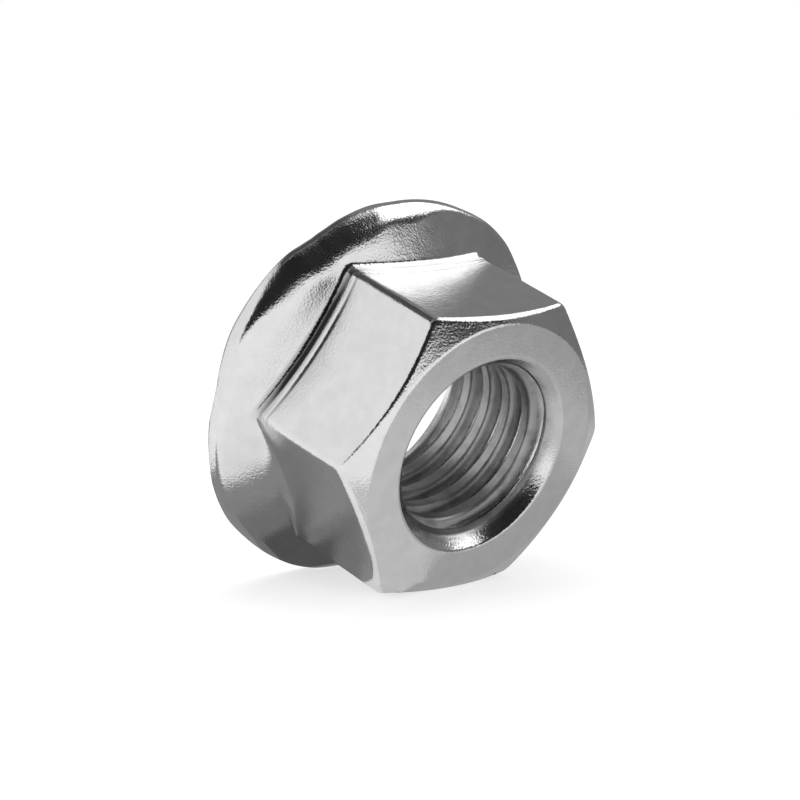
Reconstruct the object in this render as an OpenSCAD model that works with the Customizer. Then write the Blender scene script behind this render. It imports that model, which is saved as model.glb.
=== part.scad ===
// Hex flange nut, forged in one piece, standing on its bearing face.
// Origin: centre of the bearing face. +Z: along the bore, towards the hex end.
// The bore is drawn at the thread's minor diameter.

/* [Hexagon] */
// Width across the flats, the wrench size
across_flats = 19.05; // [17:0.05:21]
// Height of the whole nut, bearing face to hex end
nut_h = 11.9; // [10:0.1:16]
// How far each sharp corner is rubbed down, measured along the corner's radius
corner_trim = 0.08; // [0.02:0.01:0.3]
// Diameter of the flat end face inside the end chamfer
end_face_d = 18; // [16.8:0.1:18.6]
// Angle of the end chamfer, from the end face
end_chamfer_a = 26; // [15:1:35]

/* [Flange] */
// Diameter of the flange
flange_d = 26; // [24:0.1:30]
// Height of the rim, up to where its wall would meet the cone
rim_h = 1.3; // [1.1:0.05:2.4]
// Slope of the flange's upper side
flange_a = 27; // [15:1:32]
// Radius of the rim's upper shoulder
shoulder_r = 0.6; // [0.2:0.05:0.9]
// Radius of the rim's lower edge
rim_edge_r = 0.4; // [0.1:0.05:0.6]
// Radius of the fillet where the hexagon rises from the flange
root_r = 0.55; // [0.3:0.05:1.2]

/* [Bore] */
// Nominal thread diameter
thread_d = 12.7; // [10:0.1:13]
// Thread pitch: 13 turns to the inch
thread_pitch = 1.954; // [1.25:0.001:2.1]
// Diameter of the countersink at the hex end
mouth_d = 13.4; // [12.9:0.1:14.2]
// Included angle of the countersink at the hex end
mouth_a = 90; // [60:5:120]
// Diameter of the countersink at the bearing face
base_mouth_d = 14.9; // [13:0.1:15.5]
// Included angle of the countersink at the bearing face
base_mouth_a = 80; // [60:5:120]

/* [Hidden] */
round_fn = 96;
// How far a cutting shape runs on past the face that it cuts
overrun = 1;

// Thread
minor_d = thread_d - 1.25 * cos(30) * thread_pitch;
function countersink_depth(d, a) = (d - minor_d) / 2 / tan(a / 2);

// Hexagon
flat_r = across_flats / 2;
sharp_corner_r = flat_r / cos(30);
corner_r = sharp_corner_r - corner_trim;
chamfer_drop = (sharp_corner_r - end_face_d / 2) * tan(end_chamfer_a);

// Flange, in the section through the axis
flange_r = flange_d / 2;
shoulder_t = shoulder_r * tan((90 - flange_a) / 2);
cone_top_r = minor_d / 2;

// Root fillet: stations along each flat, and chords round its arc
root_stations = 8;
root_chords = 5;
root_overrun = 0.2;
root_bury = 0.6;

// Height of the flange's cone at a distance from the axis
function cone_z(r) = rim_h + (flange_r - r) * tan(flange_a);

// Slope of the cone across a flat, at a place along that flat
function across_slope(y) = atan(tan(flange_a) * flat_r / norm([flat_r, y]));

// Point on the fillet's arc: k runs from 0 at the flat to 1 at the cone
function arc_point(y, k) =
    let (slope = across_slope(y),
         reach = root_r * tan((90 - slope) / 2),
         turn = k * (90 - slope))
    [flat_r + root_r * (1 - cos(turn)),
     cone_z(norm([flat_r, y])) + reach - root_r * sin(turn)];

// The arc's chords, the first and last run on into the solid
function arc_points(y) =
    let (p = [for (i = [0:root_chords]) arc_point(y, i / root_chords)],
         n = root_chords)
    concat([p[0] + root_overrun * (p[0] - p[1])],
           [for (i = [1:n - 1]) p[i]],
           [p[n] + root_overrun * (p[n] - p[n - 1])]);

// One section of the fillet, closed inside the nut; f runs from -1 to 1 along the flat
function root_section(f) =
    let (a = arc_points(f * flat_r * tan(30)), last = a[root_chords])
    [for (q = concat(a, [[last[0], last[1] - root_bury], [a[0][0] - root_bury, last[1] - root_bury],
                         [a[0][0] - root_bury, a[0][1]]]))
        [q[0], f * q[0] * tan(30), q[1]]];

function turned(p, a) = [p[0] * cos(a) - p[1] * sin(a), p[0] * sin(a) + p[1] * cos(a), p[2]];

module hexagon_body() {
    intersection() {
        rotate([0, 0, 30]) cylinder(r = sharp_corner_r, h = nut_h, $fn = 6);
        cylinder(r = corner_r, h = nut_h, $fn = round_fn);
        union() {
            cylinder(r = sharp_corner_r, h = nut_h - chamfer_drop, $fn = round_fn);
            translate([0, 0, nut_h - chamfer_drop])
                cylinder(r1 = sharp_corner_r, r2 = end_face_d / 2, h = chamfer_drop, $fn = round_fn);
        }
    }
}

module flange_section() {
    wall_top = rim_h - shoulder_t;
    union() {
        polygon([
            [0, 0],
            [flange_r - rim_edge_r, 0],
            [flange_r, rim_edge_r],
            [flange_r, wall_top],
            [flange_r - shoulder_t * cos(flange_a), rim_h + shoulder_t * sin(flange_a)],
            [cone_top_r, cone_z(cone_top_r)],
            [0, cone_z(cone_top_r)]
        ]);
        translate([flange_r - rim_edge_r, rim_edge_r]) circle(r = rim_edge_r, $fn = round_fn);
        translate([flange_r - shoulder_r, wall_top]) circle(r = shoulder_r, $fn = round_fn);
    }
}

module flange() {
    rotate_extrude($fn = round_fn) flange_section();
}

module root_fillet() {
    sections = [for (side = [0:5], i = [0:root_stations - 1])
        [for (p = root_section(2 * i / root_stations - 1)) turned(p, 60 * side)]];
    count = len(sections);
    size = len(sections[0]);
    polyhedron(
        points = [for (s = sections, p = s) p],
        faces = [for (i = [0:count - 1], j = [0:size - 1])
            let (i2 = (i + 1) % count, j2 = (j + 1) % size, a = i * size + j, b = i2 * size + j,
                 c = i2 * size + j2, d = i * size + j2)
            each [[a, b, c], [a, c, d]]]
    );
}

// Countersink that opens upwards and reaches its diameter at z = 0
module countersink(d, a) {
    depth = countersink_depth(d, a);
    translate([0, 0, -depth])
        cylinder(d1 = minor_d, d2 = d + 2 * overrun * tan(a / 2), h = depth + overrun, $fn = round_fn);
}

module bore() {
    translate([0, 0, -overrun]) cylinder(d = minor_d, h = nut_h + 2 * overrun, $fn = round_fn);
    translate([0, 0, nut_h]) countersink(mouth_d, mouth_a);
    mirror([0, 0, 1]) countersink(base_mouth_d, base_mouth_a);
}

module hex_flange_nut() {
    color("silver")
    difference() {
        union() {
            hexagon_body();
            flange();
            root_fillet();
        }
        bore();
    }
}

hex_flange_nut();
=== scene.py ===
"""A zinc-plated hex flange nut that lies on its flange and one flat, on a white studio floor."""
import math

import bmesh
import bpy
from mathutils import Matrix, Vector, noise


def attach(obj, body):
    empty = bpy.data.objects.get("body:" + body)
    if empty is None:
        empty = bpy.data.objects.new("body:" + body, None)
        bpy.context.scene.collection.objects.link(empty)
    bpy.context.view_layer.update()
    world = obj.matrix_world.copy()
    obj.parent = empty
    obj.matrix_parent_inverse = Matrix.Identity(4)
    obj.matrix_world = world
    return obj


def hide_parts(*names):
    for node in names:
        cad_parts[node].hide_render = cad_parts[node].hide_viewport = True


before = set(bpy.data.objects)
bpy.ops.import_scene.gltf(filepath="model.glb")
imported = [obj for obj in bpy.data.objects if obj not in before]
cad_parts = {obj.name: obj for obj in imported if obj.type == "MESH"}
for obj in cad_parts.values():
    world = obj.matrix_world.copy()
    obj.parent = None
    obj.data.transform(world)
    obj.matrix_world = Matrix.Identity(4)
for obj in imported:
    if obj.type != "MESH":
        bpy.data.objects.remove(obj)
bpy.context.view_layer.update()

MM = 0.001

# Hexagon, in millimetres
NUT_H = 11.9
FLAT_R = 9.525
CORNER_ROUND = 0.8
END_FACE_R = 9.0
END_CHAMFER = math.radians(30)
CHAMFER_BREAK = 0.54
FACE_BREAK = 0.54

# Flange: its rim, its cone, and the shoulder between them
FLANGE_R = 12.95
RIM_H = 1.3
FLANGE_SLOPE = math.radians(25)
SHOULDER_R = 0.6
RIM_EDGE_R = 0.4
# The rounder shoulder: its radius, where it leaves the cone, the angle at which it ends, and its edge
SHORT_SHOULDER_R = 3.0
SHORT_SHOULDER_START = 11.6
SHORT_SHOULDER_END = 30
SHORT_EDGE_R = 0.15
# Fillet between the hexagon and the cone, as it is and where it is wide
ROOT_R = 0.5
WIDE_ROOT_R = 1.5

# The bead that the forging die left on each flat, just above the crease of the root, which gets painted
# shade:
# heights over the root, how far each stands out and how much painted shade it gets
BEAD_OUT = 0.12
BEAD = ((0.05, -0.2, 1.0), (0.11, -0.1, 1.0), (0.17, 0.4, 0.8), (0.24, 0.9, 0.0), (0.34, 1.0, 0.0),
        (0.50, 1.0, 0.0), (0.64, 0.8, 0.0), (0.72, 0.3, 0.5), (0.78, -0.1, 0.9), (0.83, -0.1, 0.6),
        (0.90, 0.0, 0.0))

# Coarse thread of the bore, 13 turns to the inch: crest and groove with their shares of the pitch,
# and the height and angle of one crest
CREST_R = 5.45
GROOVE_R = 6.3
PITCH = 1.954
CREST_SHARE = 0.17
GROOVE_SHARE = 0.46
CREST_PLACE = 7.45
CREST_ANGLE = math.radians(60)
PITCH_ROWS = 18

# Countersinks of the bore, and the tap's lead below the upper one
MOUTH_R = 6.7
MOUTH_BREAK = 0.4
MOUTH_SLOPE = math.radians(45)
MOUTH_DEPTH = 0.8
LEAD_SLOPE = math.radians(20)
BASE_MOUTH_R = 7.45
BASE_MOUTH_BREAK = 0.15
BASE_MOUTH_SLOPE = math.radians(40)

# Places on the forged rim: angle and half width in degrees, and how far the rim stands out or in there
RIM_LUMPS = ((236, 30, 0.5), (199, 15, 0.16), (303, 18, 0.12), (143, 16, 0.12), (20, 18, 0.06),
             (72, 14, 0.06), (345, 12, 0.05))
RIM_DENTS = ((268, 8, 0.1), (216, 5, 0.06), (100, 10, 0.07), (45, 9, 0.06))
# The lumps and dents fade out between these distances from the axis
RIM_FROM, RIM_FULL = 11.1, 12.5
# Where the die was not quite filled and the shoulder is rounder, and how much of the way
SHORT_FILLS = ((219, 30, 1.0), (191, 26, 0.7), (60, 40, 0.3), (330, 24, 0.15))
# Where the root is wide, where the bead shows and where its crease gets painted shade, in the same way
WIDE_ROOTS = ((300, 26, 1.0), (60, 24, 0.6))
BEADS = ((180, 40, 1.0), (240, 34, 1.0), (120, 30, 0.6), (0, 30, 0.7))
DARK_CREASES = ((239, 40, 1.0), (180, 22, 0.2), (120, 24, 0.5), (0, 22, 0.6))
# Share of a bump's half width over which it keeps its full size
BUMP_TOP = 0.3

# How far the forged skin sinks in, in broad and in fine hollows, and how close the hollows lie
BROAD_SINK, BROAD_SCALE = 0.01, 0.4
FINE_SINK, FINE_SCALE = 0.0035, 1.4
FINE_OFFSET = Vector((7, 3, 5))

# Columns round the nut, drawn together at the six corners
COLUMNS = 288
BUNCH = 0.72
FULL_TURN = 2 * math.pi
SIXTH = math.pi / 3
# Edge points closer together than this become one
MERGE = 1e-3


def arc(centre_r, centre_z, radius, start, end, steps):
    """Points round an arc of the section; the angles are in degrees from straight outwards."""
    points = []
    for i in range(steps + 1):
        a = math.radians(start + (end - start) * i / steps)
        points.append((centre_r + radius * math.cos(a), centre_z + radius * math.sin(a)))
    return points


def between(a, b, shares):
    """Points on the straight line from a to b, at these shares of it."""
    return [(a[0] + (b[0] - a[0]) * s, a[1] + (b[1] - a[1]) * s) for s in shares]


def smooth_step(low, high, x):
    t = min(1.0, max(0.0, (x - low) / (high - low)))
    return t * t * (3 - 2 * t)


def bumps(angle, places):
    """Sum of the smooth bumps at these places round the nut."""
    total = 0.0
    for centre, half, size in places:
        away = abs((math.degrees(angle) - centre + 180) % 360 - 180)
        total += size * (1 - smooth_step(BUMP_TOP, 1, away / half))
    return total


def hexagon_reach(angle):
    """Distance from the axis to the hexagon, whose flats face 0, 60, 120 degrees and so on."""
    off_flat = (angle + SIXTH / 2) % SIXTH - SIXTH / 2
    inner = FLAT_R - CORNER_ROUND
    if abs(FLAT_R * math.tan(off_flat)) <= inner * math.tan(SIXTH / 2):
        return FLAT_R / math.cos(off_flat)
    centre = inner / math.cos(SIXTH / 2)
    off_corner = SIXTH / 2 - abs(off_flat)
    aside = centre * math.sin(off_corner)
    return centre * math.cos(off_corner) + math.sqrt(CORNER_ROUND ** 2 - aside ** 2)


CORNER_REACH = hexagon_reach(SIXTH / 2)


def cone_height(r):
    return RIM_H + (FLANGE_R - r) * math.tan(FLANGE_SLOPE)


def chamfer_height(r):
    return NUT_H - (r - END_FACE_R) * math.tan(END_CHAMFER)


def break_reach(slope):
    """How far a countersink's broken edge of radius 1 starts outside its sharp edge."""
    return 1 / math.cos(slope) - math.tan(slope)


def countersink_reach(z):
    """Radius at this height of the two countersinks and of the tap's lead below the upper one."""
    down = NUT_H - z
    lead = MOUTH_R - MOUTH_DEPTH * math.tan(MOUTH_SLOPE) - (down - MOUTH_DEPTH) * math.tan(LEAD_SLOPE)
    mouth = MOUTH_R - down * math.tan(MOUTH_SLOPE)
    return max(BASE_MOUTH_R - z * math.tan(BASE_MOUTH_SLOPE), lead if down > MOUTH_DEPTH else mouth)


def full_shoulder():
    """The rim's shoulder where the die was filled, from its wall to the cone."""
    wall_top = RIM_H - SHOULDER_R * math.tan((math.pi / 2 - FLANGE_SLOPE) / 2)
    return arc(FLANGE_R - SHOULDER_R, wall_top, SHOULDER_R, 0, 90 - math.degrees(FLANGE_SLOPE), 9)


def short_shoulder():
    """The rounder shoulder where it was not, with as many points."""
    cone_up = math.pi / 2 - FLANGE_SLOPE
    centre_r = SHORT_SHOULDER_START - SHORT_SHOULDER_R * math.cos(cone_up)
    centre_z = cone_height(SHORT_SHOULDER_START) - SHORT_SHOULDER_R * math.sin(cone_up)
    big = arc(centre_r, centre_z, SHORT_SHOULDER_R, SHORT_SHOULDER_END, math.degrees(cone_up), 6)
    end = math.radians(SHORT_SHOULDER_END)
    edge_r, edge_z = big[0][0] - SHORT_EDGE_R * math.cos(end), big[0][1] - SHORT_EDGE_R * math.sin(end)
    return arc(edge_r, edge_z, SHORT_EDGE_R, 0, 0.8 * SHORT_SHOULDER_END, 2) + big


def nut_section(shoulder, fillet=ROOT_R):
    """Half section through a corner, from the lower mouth out, up and in again to the upper mouth.
    Each row is a radius and a height, and how far it goes in with the flats (press), how far that
    lifts it (rise), its share of the bead (bead), how much painted shade darkens it at the root's
    crease (its crease shade) and 1 where its points draw together at the corners (bunch)."""
    rows = []

    def add(points, press=(0, 0), rise=(0, 0), bead=(0, 0), crease_shade=(0, 0), bunch=1):
        for i, (r, z) in enumerate(points):
            s = i / max(1, len(points) - 1)
            shares = [a + (b - a) * s for a, b in (press, rise, bead, crease_shade)]
            rows.append((r, z, *shares, bunch))

    cone_rise, chamfer_rise = math.tan(FLANGE_SLOPE), math.tan(END_CHAMFER)
    slope, chamfer = math.degrees(FLANGE_SLOPE), math.degrees(END_CHAMFER)
    rim_r = shoulder[0][0]

    base_centre = BASE_MOUTH_R + BASE_MOUTH_BREAK * break_reach(BASE_MOUTH_SLOPE)
    base_turn = 180 + math.degrees(BASE_MOUTH_SLOPE)
    add(arc(base_centre, BASE_MOUTH_BREAK, BASE_MOUTH_BREAK, base_turn, 270, 4), bunch=0)
    add(between((base_centre, 0), (rim_r - RIM_EDGE_R, 0), (0.15, 0.35, 0.55, 0.75, 0.9, 0.97)))
    rim_edge = arc(rim_r - RIM_EDGE_R, RIM_EDGE_R, RIM_EDGE_R, 270, 360, 7)
    add(rim_edge)
    add(between(rim_edge[-1], shoulder[0], (0.12, 0.5, 0.88)))
    add(shoulder)

    root_r = CORNER_REACH + fillet
    root_z = cone_height(root_r) + fillet / math.cos(FLANGE_SLOPE)
    root = arc(root_r, root_z, fillet, 270 - slope, 180, 10)
    rising = (cone_rise, cone_rise)
    cone = between(shoulder[-1], root[0], (0.06, 0.2, 0.4, 0.6, 0.8, 0.95))
    add(cone, press=(0.06, 0.95), rise=rising)
    # Painted shade darkens the root's fillet towards the hexagon, and the rows just below and above the
    # bead
    add(root, press=(1, 1), rise=rising, crease_shade=(0.25, 1))
    wall_r, root_top = root[-1]
    for up, out, dark in BEAD:
        add([(wall_r, root_top + up)], press=(1, 1), rise=rising, bead=(out, out), crease_shade=(dark, dark))
    bead_top = root_top + BEAD[-1][0]

    edge_r = CORNER_REACH - CHAMFER_BREAK
    edge_z = chamfer_height(edge_r) - CHAMFER_BREAK / math.cos(END_CHAMFER)
    edge = arc(edge_r, edge_z, CHAMFER_BREAK, 0, 90 - chamfer, 8)
    for s in (0.015, 0.1, 0.25, 0.4, 0.55, 0.7, 0.85, 0.95, 0.99):
        add(between((wall_r, bead_top), edge[0], (s,)), press=(1, 1),
            rise=(cone_rise + (chamfer_rise - cone_rise) * s,) * 2)
    add(edge, press=(1, 1), rise=(chamfer_rise,) * 2)

    face_centre = END_FACE_R - FACE_BREAK * math.tan(END_CHAMFER / 2)
    face = arc(face_centre, NUT_H - FACE_BREAK, FACE_BREAK, 90 - chamfer, 90, 5)
    add(between(edge[-1], face[0], (0.08, 0.5, 0.92)), press=(0.92, 0.08), rise=(chamfer_rise,) * 2)
    add(face)
    mouth_centre = MOUTH_R + MOUTH_BREAK * break_reach(MOUTH_SLOPE)
    add(between(face[-1], (mouth_centre, NUT_H), (0.1, 0.35, 0.6, 0.8, 0.92)))
    mouth_turn = 180 - math.degrees(MOUTH_SLOPE)
    add(arc(mouth_centre, NUT_H - MOUTH_BREAK, MOUTH_BREAK, 90, mouth_turn, 5), bunch=0)
    return rows


def spin_section(bm):
    """Turns the section round the axis, presses the six flats into it and shapes the rim.
    The points carry what the section says of them, and their steps to the other two sections."""
    names = ("press", "rise", "bead", "crease_shade", "bunch", "short_r", "short_z", "wide_r", "wide_z")
    layers = [bm.verts.layers.float.new(name) for name in names]
    press, rise, bead, crease_shade, bunch, short_r, short_z, wide_r, wide_z = layers
    verts = []
    full = full_shoulder()
    sections = nut_section(full), nut_section(short_shoulder()), nut_section(full, WIDE_ROOT_R)
    for row, rounder, wider in zip(*sections):
        v = bm.verts.new((row[0], 0, row[1]))
        steps = (rounder[0] - row[0], rounder[1] - row[1], wider[0] - row[0], wider[1] - row[1])
        for layer, value in zip(layers, (*row[2:], *steps)):
            v[layer] = value
        verts.append(v)
    edges = [bm.edges.new(pair) for pair in zip(verts, verts[1:])]
    bmesh.ops.spin(bm, geom=verts + edges, cent=(0, 0, 0), axis=(0, 0, 1), angle=FULL_TURN,
                   steps=COLUMNS, use_merge=True)
    for v in bm.verts:
        r, z = math.hypot(v.co.x, v.co.y), v.co.z
        angle = math.atan2(v.co.y, v.co.x)
        angle -= v[bunch] * BUNCH / 6 * math.sin(6 * (angle - SIXTH / 2))
        shortness, wideness = min(1.0, bumps(angle, SHORT_FILLS)), bumps(angle, WIDE_ROOTS)
        # Painted shade in the root's crease, strongest at these places round the nut
        v[crease_shade] *= bumps(angle, DARK_CREASES)
        inward = (CORNER_REACH - hexagon_reach(angle)) * v[press]
        rim = bumps(angle, RIM_LUMPS) - bumps(angle, RIM_DENTS)
        rim *= smooth_step(RIM_FROM, RIM_FULL, r)
        z += v[short_z] * shortness + v[wide_z] * wideness + v[rise] * inward
        r += v[short_r] * shortness + v[wide_r] * wideness + rim - inward
        r += BEAD_OUT * v[bead] * min(1.0, bumps(angle, BEADS))
        v.co = (r * math.cos(angle), r * math.sin(angle), z)
    # Only the painted crease shade stays on the points
    for name in names:
        if name != "crease_shade":
            bm.verts.layers.float.remove(bm.verts.layers.float[name])


def soften(bm):
    """Leaves the forged skin slightly uneven; it only ever sinks in."""
    bmesh.ops.recalc_face_normals(bm, faces=bm.faces)
    for v in bm.verts:
        broad = noise.noise(v.co * BROAD_SCALE) + 1
        fine = noise.noise(v.co * FINE_SCALE + FINE_OFFSET) + 1
        from_bore = smooth_step(BASE_MOUTH_R + 0.3, BASE_MOUTH_R + 1.3, math.hypot(v.co.x, v.co.y))
        v.co -= v.normal * from_bore * (BROAD_SINK * broad + FINE_SINK * fine)


def close_seam(bm):
    """Joins the open edges that lie on one another."""
    bmesh.ops.remove_doubles(bm, verts=[v for v in bm.verts if v.is_boundary], dist=MERGE)


def spin_thread(bm):
    """Screws the rounded thread up the bore and opens both ends with a countersink."""
    turns = int(NUT_H / PITCH) + 3
    base = CREST_PLACE - PITCH * (CREST_ANGLE / FULL_TURN + math.ceil(CREST_PLACE / PITCH + 1))
    verts = []
    for i in range(turns * PITCH_ROWS + 1):
        off_crest = abs((i / PITCH_ROWS + 0.5) % 1 - 0.5)
        r = CREST_R + (GROOVE_R - CREST_R) * smooth_step(CREST_SHARE, GROOVE_SHARE, off_crest)
        verts.append(bm.verts.new((r, 0, base + PITCH * i / PITCH_ROWS)))
    edges = [bm.edges.new(pair) for pair in zip(verts, verts[1:])]
    bmesh.ops.spin(bm, geom=verts + edges, cent=(0, 0, 0), axis=(0, 0, 1), dvec=(0, 0, PITCH / COLUMNS),
                   angle=FULL_TURN, steps=COLUMNS)
    low = BASE_MOUTH_BREAK * (1 - math.sin(BASE_MOUTH_SLOPE))
    high = NUT_H - MOUTH_BREAK * (1 - math.sin(MOUTH_SLOPE))
    beyond = [f for f in bm.faces
              if all(v.co.z < low for v in f.verts) or all(v.co.z > high for v in f.verts)]
    bmesh.ops.delete(bm, geom=beyond, context="FACES")
    for v in bm.verts:
        r, angle = math.hypot(v.co.x, v.co.y), math.atan2(v.co.y, v.co.x)
        z = min(high, max(low, v.co.z))
        r = countersink_reach(z) if z in (low, high) else max(r, countersink_reach(z))
        v.co = (r * math.cos(angle), r * math.sin(angle), z)
    close_seam(bm)


def make_nut(material):
    """Joins the outside and the bore into one closed mesh, in metres."""
    shell = bpy.data.meshes.new("outside")
    bm = bmesh.new()
    spin_section(bm)
    soften(bm)
    bm.to_mesh(shell)
    bm.free()
    bm = bmesh.new()
    # The bore's points carry no painted crease shade
    bm.verts.layers.float.new("crease_shade")
    spin_thread(bm)
    bm.from_mesh(shell)
    bpy.data.meshes.remove(shell)
    close_seam(bm)
    bmesh.ops.recalc_face_normals(bm, faces=bm.faces)
    bmesh.ops.scale(bm, vec=(MM, MM, MM), verts=bm.verts)
    for face in bm.faces:
        face.smooth = True
    mesh = bpy.data.meshes.new("flange_nut")
    bm.to_mesh(mesh)
    bm.free()
    mesh.materials.append(material)
    nut = bpy.data.objects.new("flange_nut", mesh)
    bpy.context.scene.collection.objects.link(nut)
    return nut


# Zinc plate: greys, the tone of the painted shade in the root's crease, roughness outside and in the
# bore, and the depths of its grain and ripple
PLATE_LOW, PLATE_HIGH = 0.72, 0.77
BORE_TONE, BLOTCH_TONE, CREASE_SHADE_TONE = 0.5, 0.16, 0.025
PLATE_ROUGHNESS, BORE_ROUGHNESS = 0.15, 0.4
GRAIN_DEPTH = 0.016 * MM
RIPPLE_DEPTH = 0.008 * MM


def grey(tone):
    return (tone, tone, tone, 1)


def zinc_plate():
    """Bright zinc plate over forged steel: soft gloss with a fine mottle, duller on the tapped wall, and
    painted shade in the crease at the root of the hexagon.
    """
    mat = bpy.data.materials.new("zinc_plate")
    mat.use_nodes = True
    nodes, links = mat.node_tree.nodes, mat.node_tree.links
    shader = nodes["Principled BSDF"]
    shader.inputs["Metallic"].default_value = 1.0
    place = nodes.new("ShaderNodeTexCoord").outputs["Object"]

    def clouds(scale, detail):
        node = nodes.new("ShaderNodeTexNoise")
        node.inputs["Scale"].default_value = scale
        node.inputs["Detail"].default_value = detail
        links.new(place, node.inputs["Vector"])
        return node.outputs["Fac"]

    def spread(value, from_low, from_high, low, high):
        node = nodes.new("ShaderNodeMapRange")
        ends = {"From Min": from_low, "From Max": from_high, "To Min": low, "To Max": high}
        for name, number in ends.items():
            node.inputs[name].default_value = number
        links.new(value, node.inputs["Value"])
        return node.outputs["Result"]

    flatten = nodes.new("ShaderNodeVectorMath")
    flatten.operation = "MULTIPLY"
    flatten.inputs[1].default_value = (1, 1, 0)
    links.new(place, flatten.inputs[0])
    radius = nodes.new("ShaderNodeVectorMath")
    radius.operation = "LENGTH"
    links.new(flatten.outputs["Vector"], radius.inputs[0])
    from_axis = radius.outputs["Value"]

    patches = spread(clouds(350, 3), 0.3, 0.7, -0.03, 0.03)
    rough = nodes.new("ShaderNodeMath")
    rough.operation = "ADD"
    links.new(spread(from_axis, 5.8 * MM, 6.2 * MM, BORE_ROUGHNESS, PLATE_ROUGHNESS), rough.inputs[0])
    links.new(patches, rough.inputs[1])
    links.new(rough.outputs[0], shader.inputs["Roughness"])

    tint = nodes.new("ShaderNodeMix")
    tint.data_type = "RGBA"
    tint.inputs["A"].default_value = grey(PLATE_LOW)
    tint.inputs["B"].default_value = grey(PLATE_HIGH)
    links.new(spread(clouds(900, 4), 0.35, 0.65, 0, 1), tint.inputs["Factor"])

    def darken(colour, share, to):
        mix = nodes.new("ShaderNodeMix")
        mix.data_type = "RGBA"
        mix.inputs["B"].default_value = grey(to)
        links.new(share, mix.inputs["Factor"])
        links.new(colour, mix.inputs["A"])
        return mix.outputs["Result"]

    plate = darken(tint.outputs["Result"], spread(from_axis, 5.9 * MM, 6.3 * MM, 1, 0), BORE_TONE)
    blotch = nodes.new("ShaderNodeMath")
    blotch.operation = "MULTIPLY"
    links.new(spread(clouds(1000, 5), 0.45, 0.75, 0, 0.5), blotch.inputs[0])
    links.new(spread(from_axis, 6.1 * MM, 6.4 * MM, 1, 0), blotch.inputs[1])
    plate = darken(plate, blotch.outputs[0], BLOTCH_TONE)
    # Painted shade darkens the crease at the root of the hexagon, down to its tone
    crease_shade = nodes.new("ShaderNodeAttribute")
    crease_shade.attribute_name = "crease_shade"
    plate = darken(plate, spread(crease_shade.outputs["Fac"], 0, 0.8, 0, 1), CREASE_SHADE_TONE)
    links.new(plate, shader.inputs["Base Color"])

    def uneven(height, depth):
        node = nodes.new("ShaderNodeBump")
        node.inputs["Strength"].default_value = 1.0
        node.inputs["Distance"].default_value = depth
        links.new(height, node.inputs["Height"])
        return node

    grain = uneven(clouds(6500, 2), GRAIN_DEPTH)
    ripple = uneven(clouds(1100, 2), RIPPLE_DEPTH)
    links.new(ripple.outputs["Normal"], grain.inputs["Normal"])
    links.new(grain.outputs["Normal"], shader.inputs["Normal"])
    return mat


# The nut lies on its shoulder and on the front edge of the flat that faces +X
LEAN = math.radians(17.4)
FLOOR_UP = Vector((-math.cos(LEAN), 0, -math.sin(LEAN)))
FLOOR_DROP = 12.573 * MM

# The photograph's camera
CAMERA_AZIMUTH = -29.83
CAMERA_ELEVATION = 42.395
CAMERA_ROLL = 122.5
CAMERA_DISTANCE = 216.1 * MM
CAMERA_AIM = Vector((-0.744, -0.908, 4.426)) * MM
LENS = 151.0
SENSOR = 36.0

# Light of the studio, and its pale floor with the glow that the camera and the metal see on it
WORLD_LIGHT = 0.55
SOFT_BOX_LIGHT = 0.3
FLOOR_R = 400 * MM
FLOOR_PAINT = 0.55
FLOOR_GLOW = 0.54
CAMERA_GLOW = 0.1

# How far from the nut the lamps and most boards stand
LAMP_DISTANCE = 0.5
BOARD_DISTANCE = 0.7

# Boards: azimuth and elevation, width and height in degrees, level and distance
BLACK = 0.02
BOARDS = (("black_board", 13, 34, 78, 59, BLACK, BOARD_DISTANCE),
          ("black_board_low", 1, 9, 62, 22, BLACK, BOARD_DISTANCE),
          ("black_board_middle", 58, 32, 18, 53, BLACK, 0.45),
          ("black_board_right", 73, 19, 20, 20, BLACK, BOARD_DISTANCE),
          ("right_board", 115, 11, 74, 32, 0.2, BOARD_DISTANCE),
          ("back_board", 176, 27, 84, 70, 0.23, 0.72),
          ("left_back_board", -127, 12, 44, 40, 0.5, 0.74),
          ("left_top_board", -105, 65, 90, 28, 0.08, 0.74),
          ("dark_ceiling", 180, 89, 50, 50, 0.15, 0.78))

# Cards on the floor with painted shade that only the metal sees: the nut's shadow under it, behind it
# and along its contact line, and the floor darker to its right and further off. In millimetres: how far
# to the right of the nut and towards the camera, turn in degrees, width and depth, level, and order
# from the floor up
FLOOR_SHADE_CARDS = (("painted_shadow_card", -13, -0.3, 0, 24, 22.6, 0.28, 1),
         ("painted_shadow_dim_card", -3.75, 0.5, 0, 7.5, 13, 0.2, 2),
         ("painted_shadow_deep_card", -3, 0, 0, 6, 8, 0.1, 3),
         ("painted_shadow_behind_card", -45, -62, 0, 90, 90, 0.35, 1),
         ("painted_shade_near_card", 12.5, -64, 0, 23, 172, 0.64, 1),
         ("painted_shade_near_dim_card", 12.5, -71, 0, 23, 159, 0.43, 2),
         ("painted_contact_shadow_card", 4.9, 5.7, 40, 8.5, 0.8, 0.06, 3),
         ("painted_shade_middle_card", 29, -139, 0, 10, 322, 0.52, 1),
         ("painted_shade_far_card", 67, -139, 0, 66, 322, 0.4, 1),
         ("painted_shade_distant_card", 250, -139, 0, 300, 322, 0.18, 1))
# How far the cards lie above the floor and above one another
CARD_LIFT = 0.1 * MM


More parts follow.
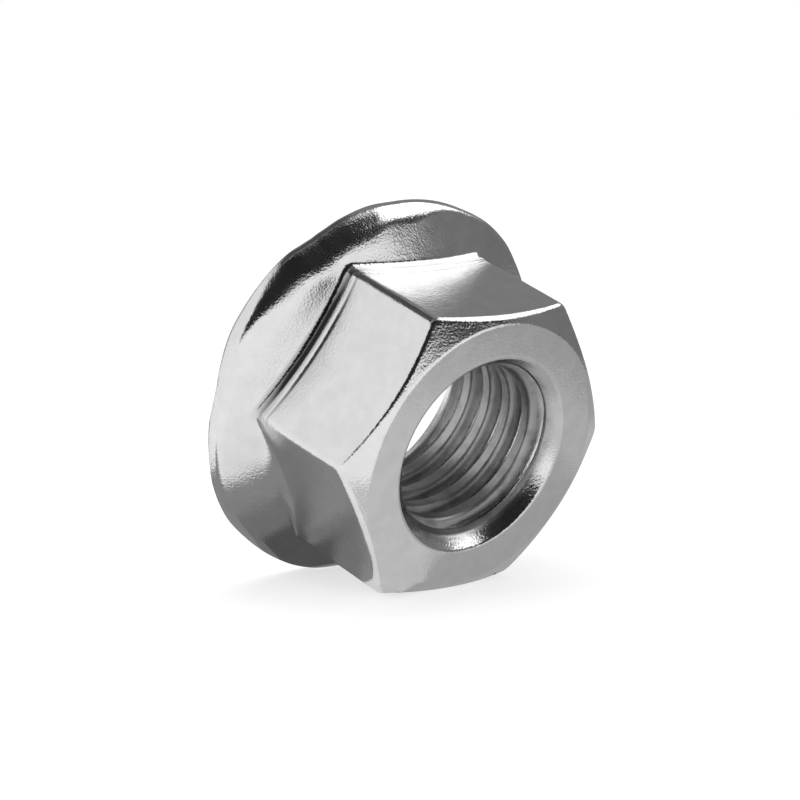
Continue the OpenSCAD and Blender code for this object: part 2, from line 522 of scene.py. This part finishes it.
def make_camera():
    """Sets the camera up and gives back the direction along the floor from the nut towards it."""
    a, e = math.radians(CAMERA_AZIMUTH), math.radians(CAMERA_ELEVATION)
    back = Vector((math.sin(a) * math.cos(e), -math.cos(a) * math.cos(e), math.sin(e)))
    data = bpy.data.cameras.new("camera")
    data.lens, data.sensor_width = LENS, SENSOR
    data.clip_start, data.clip_end = 0.01, 10
    camera = bpy.data.objects.new("camera", data)
    roll = Matrix.Rotation(math.radians(CAMERA_ROLL), 3, "Z")
    turn = (-back).to_track_quat("-Z", "Y").to_matrix() @ roll
    camera.matrix_world = Matrix.Translation(CAMERA_AIM + back * CAMERA_DISTANCE) @ turn.to_4x4()
    bpy.context.scene.collection.objects.link(camera)
    bpy.context.scene.camera = camera
    return (back - FLOOR_UP * back.dot(FLOOR_UP)).normalized()


def studio_place(towards, azimuth, elevation, distance):
    """A place round the nut: azimuth from the camera's side to the right, elevation over the floor."""
    a, e = math.radians(azimuth), math.radians(elevation)
    right = FLOOR_UP.cross(towards)
    ray = (towards * math.cos(a) + right * math.sin(a)) * math.cos(e) + FLOOR_UP * math.sin(e)
    across = FLOOR_UP.cross(ray).normalized()
    turn = Matrix((across, ray.cross(across), ray)).transposed().to_4x4()
    return Matrix.Translation(CAMERA_AIM + ray * distance) @ turn


def floor_place(towards, right_by, towards_by, lift, turned=0):
    """A place on the floor, so far to the right of the nut and towards the camera, turned in degrees."""
    right = FLOOR_UP.cross(towards)
    turn = Matrix((right, FLOOR_UP.cross(right), FLOOR_UP)).transposed().to_4x4()
    spot = FLOOR_UP * (lift - FLOOR_DROP) + right * right_by + towards * towards_by
    return Matrix.Translation(spot) @ turn @ Matrix.Rotation(math.radians(turned), 4, "Z")


def board(name, place, width, height, level):
    """A board of the studio, or a card of painted floor shade, which only shows as a reflection in the
    metal.
    """
    bm = bmesh.new()
    bmesh.ops.create_grid(bm, x_segments=1, y_segments=1, size=0.5)
    bmesh.ops.scale(bm, vec=(width, height, 1), verts=bm.verts)
    bmesh.ops.transform(bm, matrix=place, verts=bm.verts)
    mesh = bpy.data.meshes.new(name)
    bm.to_mesh(mesh)
    bm.free()
    mat = bpy.data.materials.new(name)
    mat.use_nodes = True
    nodes, links = mat.node_tree.nodes, mat.node_tree.links
    nodes.remove(nodes["Principled BSDF"])
    glow = nodes.new("ShaderNodeEmission")
    glow.inputs["Strength"].default_value = level
    links.new(glow.outputs["Emission"], nodes["Material Output"].inputs["Surface"])
    mesh.materials.append(mat)
    panel = bpy.data.objects.new(name, mesh)
    for ray in ("visible_camera", "visible_diffuse", "visible_shadow", "visible_transmission"):
        setattr(panel, ray, False)
    bpy.context.scene.collection.objects.link(panel)


def seen_sides(distance, *angles):
    """Lengths that span these angles, in degrees, at a distance from the nut."""
    return [2 * distance * math.tan(math.radians(angle / 2)) for angle in angles]


def lamp(name, towards, azimuth, elevation, width, height, light):
    """A soft lamp that the metal doesn't mirror; it gives back its place and its sides."""
    sides = seen_sides(LAMP_DISTANCE, width, height)
    data = bpy.data.lights.new(name, "AREA")
    data.shape = "RECTANGLE"
    data.size, data.size_y = sides
    data.energy = math.pi * light * sides[0] * sides[1]
    source = bpy.data.objects.new(name, data)
    source.matrix_world = studio_place(towards, azimuth, elevation, LAMP_DISTANCE)
    source.visible_glossy = False
    bpy.context.scene.collection.objects.link(source)
    return source.matrix_world, sides


def soft_box(name, towards, azimuth, elevation, width, height, face):
    """A lamp with the face that the metal shows of it, face times as bright as white."""
    place, sides = lamp(name, towards, azimuth, elevation, width, height, SOFT_BOX_LIGHT)
    board(name + "_face", place, *sides, face)


def seen_ray(nodes, links):
    """1 for the rays of the camera and for those that metal or glass sends on, else 0."""
    rays = nodes.new("ShaderNodeLightPath")
    seen = rays.outputs["Is Camera Ray"]
    for ray in ("Is Glossy Ray", "Is Transmission Ray"):
        either = nodes.new("ShaderNodeMath")
        either.operation = "MAXIMUM"
        links.new(seen, either.inputs[0])
        links.new(rays.outputs[ray], either.inputs[1])
        seen = either.outputs[0]
    return seen


def white_floor():
    """Pale paint with the glow that makes it white to the camera and the metal; clear from below."""
    mat = bpy.data.materials.new("white_floor")
    mat.use_nodes = True
    nodes, links = mat.node_tree.nodes, mat.node_tree.links
    nodes.remove(nodes["Principled BSDF"])
    paint = nodes.new("ShaderNodeBsdfDiffuse")
    paint.inputs["Color"].default_value = grey(FLOOR_PAINT)
    glow = nodes.new("ShaderNodeEmission")
    lift = nodes.new("ShaderNodeMath")
    lift.operation = "MULTIPLY"
    lift.inputs[1].default_value = FLOOR_GLOW
    links.new(seen_ray(nodes, links), lift.inputs[0])
    camera_lift = nodes.new("ShaderNodeMath")
    camera_lift.operation = "MULTIPLY_ADD"
    camera_lift.inputs[1].default_value = CAMERA_GLOW
    links.new(nodes.new("ShaderNodeLightPath").outputs["Is Camera Ray"], camera_lift.inputs[0])
    links.new(lift.outputs[0], camera_lift.inputs[2])
    links.new(camera_lift.outputs[0], glow.inputs["Strength"])
    both = nodes.new("ShaderNodeAddShader")
    links.new(paint.outputs["BSDF"], both.inputs[0])
    links.new(glow.outputs["Emission"], both.inputs[1])
    side = nodes.new("ShaderNodeNewGeometry")
    clear = nodes.new("ShaderNodeBsdfTransparent")
    pick = nodes.new("ShaderNodeMixShader")
    links.new(side.outputs["Backfacing"], pick.inputs["Fac"])
    links.new(both.outputs["Shader"], pick.inputs[1])
    links.new(clear.outputs["BSDF"], pick.inputs[2])
    links.new(pick.outputs["Shader"], nodes["Material Output"].inputs["Surface"])
    return mat


def make_floor(towards):
    bm = bmesh.new()
    bmesh.ops.create_circle(bm, cap_ends=True, segments=96, radius=FLOOR_R)
    bmesh.ops.transform(bm, matrix=floor_place(towards, 0, 0, 0), verts=bm.verts)
    mesh = bpy.data.meshes.new("floor")
    bm.to_mesh(mesh)
    bm.free()
    mesh.materials.append(white_floor())
    floor = bpy.data.objects.new("floor", mesh)
    bpy.context.scene.collection.objects.link(floor)


def make_world():
    """Plain light from all round; the camera and the metal see it as white."""
    world = bpy.data.worlds.new("studio")
    world.use_nodes = True
    bpy.context.scene.world = world
    nodes, links = world.node_tree.nodes, world.node_tree.links
    light = nodes["Background"]
    light.inputs["Color"].default_value = grey(1)
    light.inputs["Strength"].default_value = WORLD_LIGHT
    white = nodes.new("ShaderNodeBackground")
    white.inputs["Color"].default_value = grey(1)
    white.inputs["Strength"].default_value = 1.0
    pick = nodes.new("ShaderNodeMixShader")
    links.new(seen_ray(nodes, links), pick.inputs["Fac"])
    links.new(light.outputs["Background"], pick.inputs[1])
    links.new(white.outputs["Background"], pick.inputs[2])
    links.new(pick.outputs["Shader"], nodes["World Output"].inputs["Surface"])


def light_studio(towards):
    make_world()
    make_floor(towards)
    lamp("top_lamp", towards, 180, 80, 50, 50, 1.2)
    soft_box("left_soft_box", towards, -63, 31, 74, 43, 0.94)
    soft_box("right_soft_box", towards, 105, 46, 64, 34, 1.9)
    for name, azimuth, elevation, width, height, level, distance in BOARDS:
        place = studio_place(towards, azimuth, elevation, distance)
        board(name, place, *seen_sides(distance, width, height), level)
    # Painted shade of the floor: cards that only the metal's reflections show
    for name, right_by, towards_by, turned, width, depth, level, order in FLOOR_SHADE_CARDS:
        place = floor_place(towards, right_by * MM, towards_by * MM, order * CARD_LIFT, turned)
        board(name, place, width * MM, depth * MM, level)


nut = make_nut(zinc_plate())
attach(nut, "root")
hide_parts("hex_flange_nut")

light_studio(make_camera())

scene = bpy.context.scene
scene.view_settings.view_transform = "Standard"
